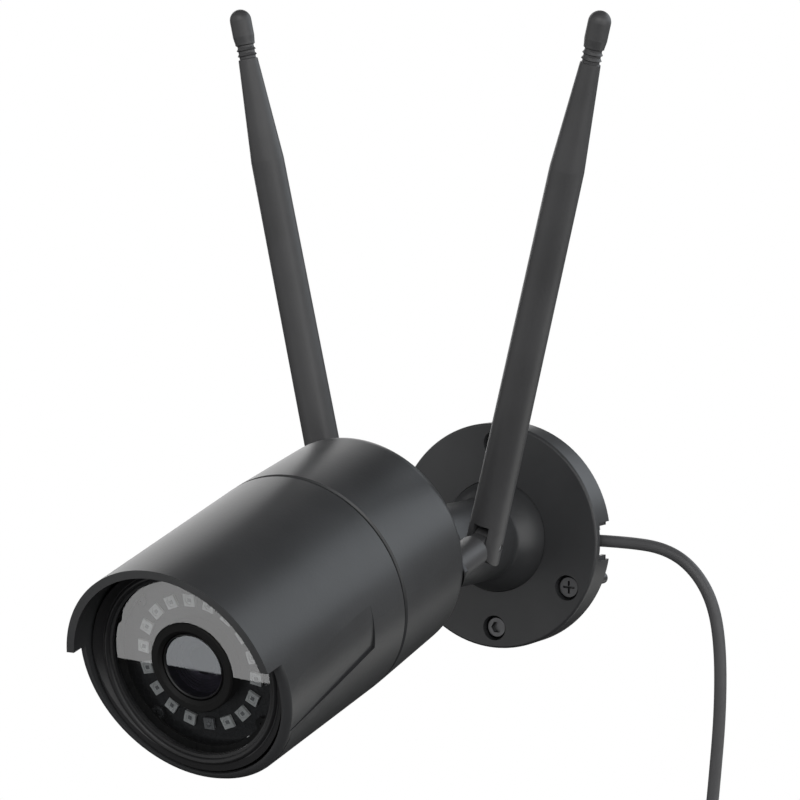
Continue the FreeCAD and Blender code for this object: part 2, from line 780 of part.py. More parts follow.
def plate_screw_places():
    """Centres of the screws that hold the back plate in the cover."""
    return [around(plate_radius - plate_screw_inset, degrees) for degrees in (38, 142, 248)]


def clamp_place():
    """Centre of the clamp screw's recess, opposite the top wall hole."""
    return around(hole_circle_radius, -90)


def notch_space():
    """Cord notch in the rim, open to the back."""
    corner = 1.2
    half = notch_height / 2
    space = block(base_radius - 7, base_radius + 2, -half, half, -1, notch_depth)
    flare = block(base_radius - 1.6, base_radius + 2, -half - corner, half + corner, -1, notch_depth)
    return space.fuse(flare)


def make_base_cover():
    """Round cover with the ball's seat, screw bosses, recesses and the cord notch."""
    edge = base_edge
    body = revolve([(0, 0), (base_radius, 0), (base_radius, base_thickness - edge),
                    (base_radius - edge, base_thickness - edge), (base_radius - edge, base_thickness),
                    (0, base_thickness)])
    body = body.fuse(Part.makeTorus(base_radius - edge, edge, Vector(0, 0, base_thickness - edge)))
    body = body.cut(disc(cavity_radius, -1, cavity_depth))
    seat = disc(seat_outer_radius, plate_thickness + 0.4, cavity_depth + 0.5)
    boss_low = plate_thickness
    body = body.fuse(seat)
    for x, y in wall_holes() + [clamp_place()]:
        body = body.fuse(disc(wall_recess_radius + 1.6, boss_low, cavity_depth + 0.5, x, y))
    for x, y in plate_screw_places():
        body = body.fuse(disc(3.0, boss_low, cavity_depth + 0.5, x, y))
    body = body.common(disc(base_radius, -1, base_thickness + 1))
    body = body.cut(ball(seat_radius, ball_depth))
    body = body.cut(disc(seat_radius, -1, ball_depth))
    for x, y in wall_holes():
        body = body.cut(disc(wall_hole_radius, -1, base_thickness + 1, x, y))
        body = body.cut(disc(wall_recess_radius, base_thickness - wall_recess_depth, 20, x, y))
    x, y = clamp_place()
    body = body.cut(disc(wall_recess_radius, base_thickness - wall_recess_depth, 20, x, y))
    body = body.cut(disc(clamp_screw_radius + pin_gap, -1, base_thickness + 1, x, y))
    for x, y in plate_screw_places():
        body = body.cut(disc(1.2, -1, boss_low + 4, x, y))
    body = body.cut(clamp_shoe_space(assembly_gap))
    seal_groove = ring(base_radius - 0.8, cavity_radius + 0.6, -1, 1.0)
    return body.cut(seal_groove).cut(notch_space()).removeSplitter()


def clamp_shoe_space(extra):
    """Wedge-shaped space of the clamp shoe between the ball and the clamp screw."""
    width = 5.0 + extra
    top = plate_thickness + 3.6 + extra
    shoe = block(-width, width, -hole_circle_radius + 2.4 - extra, -10, plate_thickness, top)
    return shoe.cut(disc(seat_radius - extra, 0, 20)).cut(ball(seat_radius - extra, ball_depth))


def make_clamp_shoe():
    """Shoe that the clamp screw presses against the ball."""
    return clamp_shoe_space(0.0)


def make_clamp_screw():
    """Socket-head screw in the bottom recess that locks the ball."""
    screw = pan_screw(clamp_head_radius, clamp_head_height, clamp_screw_radius, 3.9, "socket")
    x, y = clamp_place()
    return moved(screw, x, y, base_thickness - wall_recess_depth)


def make_wall_screws():
    """Three cross-head screws into the wall, each with a plain shank inside the base."""
    seat = base_thickness - wall_recess_depth
    screw = pan_screw(wall_screw_head_radius, wall_screw_head_height, wall_screw_radius, wall_screw_length)
    screw = screw.fuse(disc(wall_shank_radius, -seat, 0.1))
    return group([moved(screw, x, y, seat) for x, y in wall_holes()])


def make_back_plate():
    """Steel plate that closes the base, with the dome's pivot hole and the cord slot."""
    plate = ring(plate_radius, plate_open_radius, 0, plate_thickness)
    for x, y in wall_holes():
        plate = plate.cut(disc(wall_hole_radius + 0.3, -1, 5, x, y))
    for x, y in plate_screw_places():
        plate = plate.cut(disc(2.3, -1, 5, x, y))
    x, y = clamp_place()
    plate = plate.cut(disc(clamp_screw_radius + 0.5, -1, 5, x, y))
    slot_half = cord_radius + 1
    return plate.cut(block(plate_radius - 3, plate_radius + 2, -slot_half, slot_half, -1, 5))


def make_plate_screws():
    """Three flush screws that hold the back plate."""
    screw = turned(pan_screw(2.2, 1.1, 1.1, 3.6), 180, axis=Vector(1, 0, 0))
    return group([moved(screw, x, y, plate_thickness) for x, y in plate_screw_places()])


def make_wall_seal():
    """Rubber ring in the rim's back face, cut away at the notch."""
    seal = ring(base_radius - 0.85, cavity_radius + 0.65, 0, 0.95)
    return seal.cut(notch_space())


def make_cord_clip():
    """Clip inside the base that grips the cord behind the notch, bored along the cord's first run."""
    half = clip_width / 2
    outer = cavity_radius - clip_inset
    body = on_wall(block(seat_outer_radius + clip_gap, outer, -half, half, plate_thickness, cavity_depth))
    start = Vector(*cord_route[0])
    along = (Vector(*cord_route[1]) - start).normalize()
    bore = Part.makeCylinder(cord_radius + pin_gap, 2 * base_radius, start - along * base_radius, along)
    return body.cut(bore)


# ---------------------------------------------------------------- aerials
def make_jack():
    """Threaded bulkhead connector through the rear wall, in the aerial frame."""
    wall_level = -aerial_standoff
    barrel = ring(jack_radius, 0.7, wall_level - rear_wall - 5, wall_level + 8)
    flange = ring(3.7, 0.7, wall_level - rear_wall - 1.5, wall_level - rear_wall)
    return joined([barrel, flange])


def make_jack_nut():
    """Hexagonal nut and washer on the connector."""
    wall_level = -aerial_standoff
    washer = disc(6.0, wall_level, wall_level + 0.6)
    nut = prism(aerial_nut_flats - 1, wall_level + 0.6, wall_level + 0.6 + aerial_nut_height)
    return joined([washer, nut]).cut(disc(jack_radius + 0.02, wall_level - 1, wall_level + 8))


def make_collar():
    """Swivelling collar that ends in the flat lug of the fold hinge."""
    foot = -aerial_standoff + 0.6 + aerial_nut_height + slide_gap
    half = lug_width / 2
    collar = revolve([(0, foot), (collar_radius, foot), (collar_radius, -collar_shoulder - 1.2),
                      (collar_radius - 0.8, -collar_shoulder), (0, -collar_shoulder)])
    web = block(-half, half, -collar_radius + 0.9, collar_radius - 0.9, -collar_shoulder - 0.5, 0)
    lug = cross_pin(lug_radius, -half, half)
    collar = joined([collar, web, lug])
    collar = collar.cut(disc(jack_radius + pin_gap, foot - 1, -aerial_standoff + 8 + slide_gap))
    return collar.cut(cross_pin(fold_pin_radius + pin_gap, -9, 9))


def make_fold_pin():
    """Pin of the fold hinge, pressed into the mast's cheeks."""
    return cross_pin(fold_pin_radius, -mast_base_radius + 0.4, mast_base_radius - 0.4)


def make_mast_straight():
    """Tapered mast along +z from the fold pin, forked at its foot and ringed below its tip."""
    tip_radius = mast_tip_radius
    neck = mast_neck_radius
    ring_step = 0.45
    profile = [(0, 0), (mast_base_radius, 0), (mast_kink_radius, mast_kink),
               (neck + 0.25, mast_groove - 2.4)]
    for index in range(3):
        low = mast_groove - 2.4 + index * 1.6
        profile += [(neck - ring_step + 0.25, low + 0.3), (neck - ring_step + 0.25, low + 0.9),
                    (neck + 0.25, low + 1.2)]
    profile += [(neck + 0.3, mast_groove + 2.6), (tip_radius, mast_groove + 4.4),
                (tip_radius, mast_length - tip_radius), (0, mast_length - tip_radius)]
    mast = revolve(profile)
    mast = mast.fuse(Part.makeSphere(tip_radius, Vector(0, 0, mast_length - tip_radius)))
    foot = cross_pin(mast_base_radius, -mast_base_radius, mast_base_radius)
    mast = mast.fuse(foot.common(disc(mast_base_radius, -mast_base_radius, mast_base_radius)))
    slot_half = mast_slot / 2
    slot_top = lug_radius + 1.6
    mast = mast.cut(block(-slot_half, slot_half, -10, 10, -10, slot_top))
    mast = mast.cut(cross_pin(fold_pin_radius, -9, 9))
    return mast.cut(element_space(0.0)).removeSplitter()


def element_space(shrink):
    """Rod-shaped space of the radiating element inside the mast."""
    return disc(1.3 - shrink, lug_radius + 12, mast_kink + 20 - shrink)


def folded(shape):
    """Fold a mast piece from straight to its rest angle."""
    return turned(shape, mast_lean_back - 90, axis=Vector(1, 0, 0))


def on_aerial(shape, side, swivel):
    """Carry a shape from the aerial frame to the row frame on one side, swivelled outwards."""
    swung = turned(shape, side * swivel)
    facing = turned(swung, 180, axis=Vector(0, 1, 0))
    return on_head(moved(facing, side * aerial_spacing, -aerial_drop, fold_level))


# ---------------------------------------------------------------- cord (row frame)
def cord_path(corners):
    """Wire of straight runs joined by tangent arcs, and the arcs' radii."""
    points = [Vector(*corner) for corner in corners]
    edges = []
    radii = []
    start = points[0]
    for before, point, after in zip(points, points[1:], points[2:]):
        inward = (before - point).normalize()
        outward = (after - point).normalize()
        half_turn = (math.pi - inward.getAngle(outward)) / 2
        shorter = min(before.distanceToPoint(point), after.distanceToPoint(point))
        setback = 0.45 * shorter
        radius = setback / math.tan(half_turn)
        bisector = (inward + outward).normalize()
        middle = point + bisector * (radius / math.cos(half_turn) - radius)
        arc_start = point + inward * setback
        arc_end = point + outward * setback
        edges.append(Part.LineSegment(start, arc_start).toShape())
        edges.append(Part.Arc(arc_start, middle, arc_end).toShape())
        radii.append(radius)
        start = arc_end
    edges.append(Part.LineSegment(start, points[-1]).toShape())
    return Part.Wire(edges), radii


def make_tube(corners, label):
    """Cord tube along a route, with its radii and volume printed against section times length."""
    path, radii = cord_path(corners)
    first = path.Edges[0]
    direction = first.tangentAt(first.FirstParameter)
    section = Part.Wire([Part.makeCircle(cord_radius, path.Vertexes[0].Point, direction)])
    tube = path.makePipeShell([section], True, False, 2)
    expected = math.pi * cord_radius ** 2 * path.Length
    print(label, "length", round(path.Length, 1), "radii", [round(radius, 1) for radius in radii],
          "volume over section x length", round(tube.Volume / expected, 4))
    return tube


def coil_profile(extra):
    """Cross-section rectangle of the coil, grown by a margin, in the plane of the coil's axis."""
    half_width = coil_section_width / 2 + extra
    half_depth = coil_section_depth / 2 + extra
    bevel = 1.6
    return [(coil_mean_radius - half_width, -half_depth + bevel),
            (coil_mean_radius - half_width + bevel, -half_depth),
            (coil_mean_radius + half_width - bevel, -half_depth),
            (coil_mean_radius + half_width, -half_depth + bevel),
            (coil_mean_radius + half_width, half_depth - bevel),
            (coil_mean_radius + half_width - bevel, half_depth),
            (coil_mean_radius - half_width + bevel, half_depth),
            (coil_mean_radius - half_width, half_depth - bevel)]


def on_coil(shape):
    """Carry a shape from the coil's frame (z out of the wall) to the row frame."""
    placed = moved(shape, coil_route_x - coil_mean_radius, coil_centre_z, -coil_level)
    return on_wall(placed)


def make_cord_coil():
    """Closed solid of the tied coil's outer shape."""
    return on_coil(revolve(coil_profile(0.0)))


def make_coil_tie():
    """Band round the coil's section."""
    outer = revolve(coil_profile(tie_thickness), tie_angle)
    inner = revolve(coil_profile(0.0), 360)
    return on_coil(turned(outer.cut(inner), 180 - tie_angle / 2))


def on_tail(shape):
    """Carry a socket piece, drawn along +z from the cord's end, to the end of the tail."""
    before = Vector(*tail_route[-2])
    end = Vector(*tail_route[-1])
    copy = shape.copy()
    copy.Placement = FreeCAD.Placement(end, FreeCAD.Rotation(Vector(0, 0, 1), end - before))
    return copy


def make_socket_body():
    """Moulded power socket with a tapered tail over the cord's end."""
    sleeve = 4.0
    body = revolve([(0, -sleeve), (cord_radius + 1.0, -sleeve), (cord_radius + 1.3, 3), (socket_radius - 0.6, 9),
                    (socket_radius, 11), (socket_radius, socket_length - 0.5),
                    (socket_radius - 0.5, socket_length), (0, socket_length)])
    body = body.cut(disc(cord_radius, -sleeve - 1, 0))
    return on_tail(body.cut(disc(socket_bore_radius, socket_length - socket_bore_depth, socket_length + 1)))


def make_socket_pin():
    """Centre pin of the power socket."""
    foot = socket_length - socket_bore_depth
    pin = disc(socket_pin_radius, foot, socket_length - 1.2)
    return on_tail(pin.fuse(Part.makeSphere(socket_pin_radius, Vector(0, 0, socket_length - 1.2))))


# ---------------------------------------------------------------- all pieces
pieces = {
    "front_shell": on_head(make_front_shell()),
    "seam_seal": on_head(make_seam_seal()),
    "rear_shell": on_head(make_rear_shell()),
    "chassis": on_head(make_chassis()),
    "shell_screws": on_head(make_shell_screws()),
    "bezel_ring": on_head(make_bezel_ring()),
    "window_glass": on_head(make_window_glass()),
    "window_gasket": on_head(make_window_gasket()),
    "led_board": on_head(make_led_board()),
    "infrared_leds": on_head(make_infrared_leds()),
    "light_sensor": on_head(make_light_sensor()),
    "status_led": on_head(make_status_led()),
    "microphone": on_head(make_microphone()),
    "lens_shade": on_head(make_lens_shade()),
    "lens_barrel": on_head(make_lens_barrel()),
    "lens_elements": on_head(make_lens_elements()),
    "lens_holder": on_head(make_lens_holder()),
    "filter_frame": on_head(make_filter_frame()),
    "filter_panes": on_head(make_filter_panes()),
    "filter_coil": on_head(make_filter_coil()),
    "sensor_board": on_head(make_sensor_board()),
    "image_sensor": on_head(make_image_sensor()),
    "main_board": on_head(make_main_board()),
    "processor": on_head(make_processor()),
    "heat_spreader": on_head(make_heat_spreader()),
    "radio_module": on_head(make_radio_module()),
    "board_standoffs": on_head(make_standoffs()),
    "board_screws": on_head(make_board_screws()),
    "elbow_bracket": on_head(make_elbow_bracket()),
    "elbow_bolt": on_head(make_elbow_bolt()),
    "arm": on_wall(make_arm()),
    "arm_cable": on_wall(make_arm_cable()),
    "friction_dome": on_wall(make_friction_dome()),
    "base_cover": on_wall(make_base_cover()),
    "back_plate": on_wall(make_back_plate()),
    "plate_screws": on_wall(make_plate_screws()),
    "wall_seal": on_wall(make_wall_seal()),
    "wall_screws": on_wall(make_wall_screws()),
    "clamp_screw": on_wall(make_clamp_screw()),
    "clamp_shoe": on_wall(make_clamp_shoe()),
    "cord_clip": make_cord_clip(),
    "cord": make_tube(cord_route, "cord"),
    "cord_tail": make_tube(tail_route, "tail"),
    "cord_coil": make_cord_coil(),
    "coil_tie": make_coil_tie(),
    "socket_body": make_socket_body(),
    "socket_pin": make_socket_pin(),
}
for side_name, side, swivel in (("left", -1, left_swivel), ("right", 1, right_swivel)):
    pieces["aerial_jack_" + side_name] = on_aerial(make_jack(), side, 0.0)
    pieces["aerial_nut_" + side_name] = on_aerial(make_jack_nut(), side, 0.0)
    pieces["aerial_collar_" + side_name] = on_aerial(make_collar(), side, swivel)
    pieces["aerial_pin_" + side_name] = on_aerial(folded(make_fold_pin()), side, swivel)
    pieces["aerial_mast_" + side_name] = on_aerial(folded(make_mast_straight()), side, swivel)
    pieces["aerial_element_" + side_name] = on_aerial(folded(element_space(0.05)), side, swivel)

for name, shape in pieces.items():
    shape.exportStep("parts/" + name + ".step")
    print(name, "solids", len(shape.Solids), "valid", shape.isValid(), "volume", round(shape.Volume, 1))
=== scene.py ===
"""Looks of a wall-mounted wireless security camera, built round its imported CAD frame."""

import logging
import math
from dataclasses import dataclass
from enum import Enum

import bmesh
import bpy
from mathutils import Matrix, Quaternion, Vector


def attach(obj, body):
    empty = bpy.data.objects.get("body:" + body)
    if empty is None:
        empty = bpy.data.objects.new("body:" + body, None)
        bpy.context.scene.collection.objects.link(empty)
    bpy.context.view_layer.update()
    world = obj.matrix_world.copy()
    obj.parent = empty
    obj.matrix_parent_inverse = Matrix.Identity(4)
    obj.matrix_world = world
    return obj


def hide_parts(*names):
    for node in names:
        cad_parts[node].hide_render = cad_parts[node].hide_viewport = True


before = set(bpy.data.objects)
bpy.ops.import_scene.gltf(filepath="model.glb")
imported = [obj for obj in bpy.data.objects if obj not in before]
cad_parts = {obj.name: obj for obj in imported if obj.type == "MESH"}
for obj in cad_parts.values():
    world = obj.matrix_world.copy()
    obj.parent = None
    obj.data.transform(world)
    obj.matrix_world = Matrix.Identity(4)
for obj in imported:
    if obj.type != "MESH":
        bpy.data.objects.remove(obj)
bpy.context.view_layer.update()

MM = 0.001

log = logging.getLogger("scene")


class Slot(Enum):
    """The record's material slots."""

    SHELL_PAINT = "shell_paint"
    TRIM_PLASTIC = "trim_plastic"
    # A lighter copy of the trim plastic for the aerials: painted light that makes them read
    # brighter.
    AERIAL_LIT_TRIM = "aerial_plastic"
    WINDOW = "window"
    LENS_GLASS = "lens_glass"
    FILTER_GLASS = "filter_glass"
    RUBBER = "rubber"
    CORD_JACKET = "cord_jacket"
    BOARD_BLACK = "board_black"
    BOARD_GREEN = "board_green"
    LED_BODY = "led_body"
    SENSOR_BODY = "sensor_body"
    STATUS_LENS = "status_lens"
    BLACK_METAL = "black_metal"
    CHIP = "chip"
    CHASSIS_PLASTIC = "chassis_plastic"
    SPREADER = "spreader"
    SHIELD_CAN = "shield_can"
    COPPER_COIL = "copper_coil"
    BRASS_PART = "brass_part"
    NUT_BLACK = "nut_black"
    SCREW_STEEL = "screw_steel"
    STEEL = "steel"


class Body(Enum):
    """The CAD bodies that new pieces ride on."""

    WALL_BASE = "wall_base"
    HEAD = "head"


# ---------------------------------------------------------------- shader sheets
class Value:
    """A number socket with arithmetic, so that shader maths reads as an expression."""

    def __init__(self, sheet: "NodeSheet", socket: bpy.types.NodeSocket) -> None:
        """Wrap one output socket of a sheet."""
        self.sheet = sheet
        self.socket = socket

    def _math(self, operation: str, first: "Value | float", second: "Value | float") -> "Value":
        """Add one Math node.

        Args:
            operation: The Math node's operation.
            first: Its first operand.
            second: Its second operand.

        Returns:
            The node's result.
        """
        made = self.sheet.node("ShaderNodeMath", {"operation": operation}, {0: first, 1: second})
        return Value(self.sheet, made.outputs[0])

    def __add__(self, other: "Value | float") -> "Value":
        """Sum with a value or a number."""
        return self._math("ADD", self, other)

    __radd__ = __add__

    def __sub__(self, other: "Value | float") -> "Value":
        """Difference from a value or a number."""
        return self._math("SUBTRACT", self, other)

    def __rsub__(self, other: float) -> "Value":
        """Number less this value."""
        return self._math("SUBTRACT", other, self)

    def __mul__(self, other: "Value | float") -> "Value":
        """Product with a value or a number."""
        return self._math("MULTIPLY", self, other)

    __rmul__ = __mul__

    def sine(self) -> "Value":
        """Sine of this value in radians."""
        return self._math("SINE", self, 0.0)

    def span(self, low: float, high: float) -> "Value":
        """Smooth step of this value, from 0 at low to 1 at high."""
        made = self.sheet.node(
            "ShaderNodeMapRange",
            {"interpolation_type": "SMOOTHSTEP"},
            {"Value": self, "From Min": low, "From Max": high},
        )
        return Value(self.sheet, made.outputs["Result"])


class NodeSheet:
    """A cleared node tree, with one method that adds any node."""

    def __init__(self, tree: bpy.types.NodeTree) -> None:
        """Take over a node tree and empty it."""
        self.tree = tree
        self.tree.nodes.clear()

    def feed(self, socket: bpy.types.NodeSocket, source: object) -> None:
        """Give a socket its number or its link.

        Args:
            socket: The input to feed.
            source: A Value or an output socket to link, or a constant.
        """
        if isinstance(source, Value):
            self.tree.links.new(source.socket, socket)
        elif isinstance(source, bpy.types.NodeSocket):
            self.tree.links.new(source, socket)
        else:
            socket.default_value = source

    def node(
        self, kind: str, settings: dict | None = None, inputs: dict | None = None
    ) -> bpy.types.Node:
        """Add a node of any kind.

        Args:
            kind: The node's type.
            settings: Attributes to set before its sockets, such as a Math node's operation.
            inputs: Values or links of its input sockets, by name or index.

        Returns:
            The new node.
        """
        made = self.tree.nodes.new(kind)
        for name, value in (settings or {}).items():
            setattr(made, name, value)
        for name, value in (inputs or {}).items():
            self.feed(made.inputs[name], value)
        return made

    def place(self, grid: Matrix | None = None) -> bpy.types.NodeSocket:
        """Coordinates in metres of the rest pose.

        Args:
            grid: A frame to take them in, or None for the row frame.

        Returns:
            The vector socket.
        """
        spot = self.node("ShaderNodeTexCoord").outputs["Object"]
        if grid is None:
            return spot
        back = grid.inverted()
        settings = {"vector_type": "POINT"}
        inputs = {"Vector": spot, "Location": back.to_translation(), "Rotation": back.to_euler()}
        return self.node("ShaderNodeMapping", settings, inputs).outputs["Vector"]

    def stretched(self, spot: bpy.types.NodeSocket, scale: tuple) -> bpy.types.NodeSocket:
        """The same coordinates, scaled along each axis."""
        product = self.node("ShaderNodeVectorMath", {"operation": "MULTIPLY"}, {0: spot, 1: scale})
        return product.outputs["Vector"]

    def noise(self, spot: bpy.types.NodeSocket, scale: float, detail: float = 2.0) -> Value:
        """Smooth noise.

        Args:
            spot: Coordinates in metres.
            scale: Grains to a metre.
            detail: Octaves of finer grain.

        Returns:
            A value about 0.5.
        """
        inputs = {"Vector": spot, "Scale": scale, "Detail": detail}
        return Value(self, self.node("ShaderNodeTexNoise", {}, inputs).outputs["Fac"])

    def between(self, mask: Value, low: tuple, high: tuple) -> bpy.types.NodeSocket:
        """Colour that goes from low to high with the mask."""
        inputs = {0: mask, 6: (*low, 1.0), 7: (*high, 1.0)}
        return self.node("ShaderNodeMix", {"data_type": "RGBA"}, inputs).outputs[2]

    def bump(self, height: Value, depth: float) -> bpy.types.NodeSocket:
        """Normal of a relief of that depth in metres."""
        inputs = {"Height": height, "Distance": depth, "Strength": 1.0}
        return self.node("ShaderNodeBump", {}, inputs).outputs["Normal"]

    def principled(self, inputs: dict) -> bpy.types.NodeSocket:
        """Principled shader with those sockets set."""
        return self.node("ShaderNodeBsdfPrincipled", {}, inputs).outputs["BSDF"]

    def surface(self, shader: bpy.types.NodeSocket) -> None:
        """Send a shader to the material's surface."""
        self.node("ShaderNodeOutputMaterial", {}, {"Surface": shader})


def dimmed(colour: tuple, share: float) -> tuple:
    """Colour multiplied by a share."""
    return tuple(channel * share for channel in colour)


# ---------------------------------------------------------------- finishes
@dataclass(frozen=True)
class MouldedFinish:
    """Paint, plastic or rubber with a fine skin and a slow drift of tone.

    Scales are grains to a metre, and depths are in metres.
    """

    name: str
    colour: tuple
    roughness: float
    grain_scale: float = 900.0
    grain_depth: float = 2.0e-5
    fine_ratio: float = 3.7
    fine_share: float = 0.35
    drift_scale: float = 38.0
    drift: float = 0.12
    patchiness: float = 0.05
    sheen: float = 0.0
    specular: float = 0.5

    def lay(self, sheet: NodeSheet) -> None:
        """Lay the finish out on a sheet."""
        spot = sheet.place()
        broad = sheet.noise(spot, self.drift_scale, 3.0)
        grain = sheet.noise(spot, self.grain_scale, 2.0)
        fine = sheet.noise(spot, self.grain_scale * self.fine_ratio, 1.0)
        low = dimmed(self.colour, 1 - self.drift)
        high = dimmed(self.colour, 1 + self.drift)
        inputs = {
            "Base Color": sheet.between(broad.span(0.3, 0.7), low, high),
            "Roughness": (broad + fine - 1.0) * self.patchiness + self.roughness,
            "Normal": sheet.bump(grain + fine * self.fine_share, self.grain_depth),
            "Sheen Weight": self.sheen,
            "Specular IOR Level": self.specular,
        }
        sheet.surface(sheet.principled(inputs))


@dataclass(frozen=True)
class MetalFinish:
    """Machined or plated metal with tool marks along one direction."""

    name: str
    colour: tuple
    roughness: float
    marks: tuple = (700.0, 700.0, 60.0)
    mark_depth: float = 8.0e-6
    mark_haze: float = 0.14
    stain_scale: float = 150.0
    stain_haze: float = 0.12
    tarnish: float = 0.25

    def lay(self, sheet: NodeSheet) -> None:
        """Lay the finish out on a sheet."""
        spot = sheet.place()
        lines = sheet.noise(sheet.stretched(spot, self.marks), 3.0, 3.0)
        stain = sheet.noise(spot, self.stain_scale, 4.0).span(0.45, 0.8)
        dull = dimmed(self.colour, 1 - self.tarnish)
        inputs = {
            "Base Color": sheet.between(stain, self.colour, dull),
            "Metallic": 1.0,
            "Roughness": lines * self.mark_haze + stain * self.stain_haze + (self.roughness - 0.1),
            "Normal": sheet.bump(lines, self.mark_depth),
        }
        sheet.surface(sheet.principled(inputs))


@dataclass(frozen=True)
class TurnedFinish:
    """Black anodised part with fine turned rings round the lens axis."""

    name: str
    colour: tuple
    roughness: float
    axis_frame: Matrix
    rings_per_metre: float = 2800.0
    ring_depth: float = 2.5e-5
    patch_scale: float = 320.0
    patch_spread: float = 0.2
    haze: float = 0.1
    metallic: float = 0.35

    def lay(self, sheet: NodeSheet) -> None:
        """Lay the finish out on a sheet."""
        spot = sheet.place(self.axis_frame)
        flat = sheet.stretched(spot, (1.0, 1.0, 0.0))
        length = sheet.node("ShaderNodeVectorMath", {"operation": "LENGTH"}, {0: flat})
        reach = Value(sheet, length.outputs["Value"])
        rings = (reach * (self.rings_per_metre * 2 * math.pi)).sine()
        patches = sheet.noise(spot, self.patch_scale, 3.0)
        low = dimmed(self.colour, 1 - self.patch_spread)
        high = dimmed(self.colour, 1 + self.patch_spread)
        inputs = {
            "Base Color": sheet.between(patches, low, high),
            "Metallic": self.metallic,
            "Roughness": patches * self.haze + (self.roughness - self.haze / 2),
            "Normal": sheet.bump(rings, self.ring_depth),
        }
        sheet.surface(sheet.principled(inputs))


@dataclass(frozen=True)
class BoardFinish:
    """Solder mask over copper, with tracks and poured areas just showing through."""

    name: str
    mask_colour: tuple
    track_colour: tuple
    board_frame: Matrix
    cell_scale: float = 520.0
    cell_disorder: float = 0.42
    track_edge: tuple = (0.05, 0.12)
    weave_scale: float = 2600.0
    weave_share: float = 0.25
    relief: float = 2.5e-5
    roughness: float = 0.34

    def lay(self, sheet: NodeSheet) -> None:
        """Lay the finish out on a sheet."""
        spot = sheet.place(self.board_frame)
        settings = {"feature": "DISTANCE_TO_EDGE"}
        inputs = {"Vector": spot, "Scale": self.cell_scale, "Randomness": self.cell_disorder}
        cells = sheet.node("ShaderNodeTexVoronoi", settings, inputs)
        tracks = 1.0 - Value(sheet, cells.outputs["Distance"]).span(*self.track_edge)
        weave = sheet.noise(spot, self.weave_scale, 1.0)
        inputs = {
            "Base Color": sheet.between(tracks, self.mask_colour, self.track_colour),
            "Roughness": weave * 0.1 + tracks * 0.06 + self.roughness,
            "Normal": sheet.bump(tracks + weave * self.weave_share, self.relief),
        }
        sheet.surface(sheet.principled(inputs))


@dataclass(frozen=True)
class GlassFinish:
    """Thin clear glass that mirrors by angle and lets the rest through."""

    name: str
    ior: float
    tint: tuple
    mirror: tuple = (1.0, 1.0, 1.0)
    smudge_scale: float = 90.0
    smudge_haze: float = 0.02
    roughness: float = 0.008

    def lay(self, sheet: NodeSheet) -> None:
        """Lay the finish out on a sheet."""
        spot = sheet.place()
        smudge = sheet.noise(spot, self.smudge_scale, 4.0).span(0.5, 0.8)
        haze = smudge * self.smudge_haze + self.roughness
        back = Value(sheet, sheet.node("ShaderNodeNewGeometry").outputs["Backfacing"])
        bend = Value(sheet, sheet.node("ShaderNodeFresnel", {}, {"IOR": self.ior}).outputs["Fac"])
        clear = sheet.node("ShaderNodeBsdfTransparent", {}, {"Color": (*self.tint, 1.0)})
        inputs = {"Color": (*self.mirror, 1.0), "Roughness": haze}
        gloss = sheet.node("ShaderNodeBsdfAnisotropic", {}, inputs)
        inputs = {0: bend * (1.0 - back), 1: clear.outputs[0], 2: gloss.outputs[0]}
        sheet.surface(sheet.node("ShaderNodeMixShader", {}, inputs).outputs[0])


@dataclass(frozen=True)
class EmitterFinish:
    """Moulded resin of a light emitter or a status lens, milky and a little uneven."""

    name: str
    colour: tuple
    roughness: float
    glow: float
    cloud_scale: float = 700.0
    cloud_dip: float = 0.14
    haze: float = 0.12
    relief: float = 1.5e-5
    coat: float = 0.2

    def lay(self, sheet: NodeSheet) -> None:
        """Lay the finish out on a sheet."""
        spot = sheet.place()
        cloud = sheet.noise(spot, self.cloud_scale, 3.0)
        low = dimmed(self.colour, 1 - self.cloud_dip)
        colour = sheet.between(cloud.span(0.3, 0.7), low, self.colour)
        inputs = {
            "Base Color": colour,
            "Roughness": cloud * self.haze + (self.roughness - self.haze / 2),
            "Normal": sheet.bump(cloud, self.relief),
            "Emission Color": colour,
            "Emission Strength": self.glow,
            "Coat Weight": self.coat,
        }
        sheet.surface(sheet.principled(inputs))


@dataclass(frozen=True)
class WoundFinish:
    """Enamelled copper wire, wound side by side, with painted shade in the grooves between turns.
    """

    name: str
    colour: tuple
    pitch: float = 0.12 * MM
    groove_shade_share: float = 0.3
    relief: float = 2.0e-5
    patch_scale: float = 800.0

    def lay(self, sheet: NodeSheet) -> None:
        """Lay the finish out on a sheet."""
        spot = sheet.place()
        level = sheet.node("ShaderNodeSeparateXYZ", {}, {0: spot}).outputs["Z"]
        turns = (Value(sheet, level) * (2 * math.pi / self.pitch)).sine()
        # Painted shade: the copper's colour darkened in the grooves between the turns.
        groove_shade = dimmed(self.colour, self.groove_shade_share)
        inputs = {
            "Base Color": sheet.between(turns.span(-0.8, 0.4), groove_shade, self.colour),
            "Metallic": 0.9,
            "Roughness": sheet.noise(spot, self.patch_scale) * 0.2 + 0.2,
            "Normal": sheet.bump(turns, self.relief),
        }
        sheet.surface(sheet.principled(inputs))


@dataclass(frozen=True)
class HeadFrame:
    """The head's own frame: z along the lens axis, with its origin in the seam."""

    elbow_reach: float = 73.4 * MM
    elbow_drop: float = 10.6 * MM
    elbow_back: float = 50.0 * MM
    tilt: float = 14.6

    def matrix(self) -> Matrix:
        """Matrix that carries head coordinates to the row frame."""
        to_pin = Matrix.Translation((0, self.elbow_drop, self.elbow_back))
        turn = Matrix.Rotation(math.radians(90 + self.tilt), 4, "X")
        return Matrix.Translation((0, -self.elbow_reach, 0)) @ turn @ to_pin

    def limits(self, node: str) -> tuple[Vector, Vector]:
        """Lowest and highest corner of a CAD node in the head frame."""
        back = self.matrix().inverted()
        points = [back @ vertex.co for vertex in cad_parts[node].data.vertices]
        low = Vector(min(point[axis] for point in points) for axis in range(3))
        high = Vector(max(point[axis] for point in points) for axis in range(3))
        return low, high


HEAD_FRAME = HeadFrame()


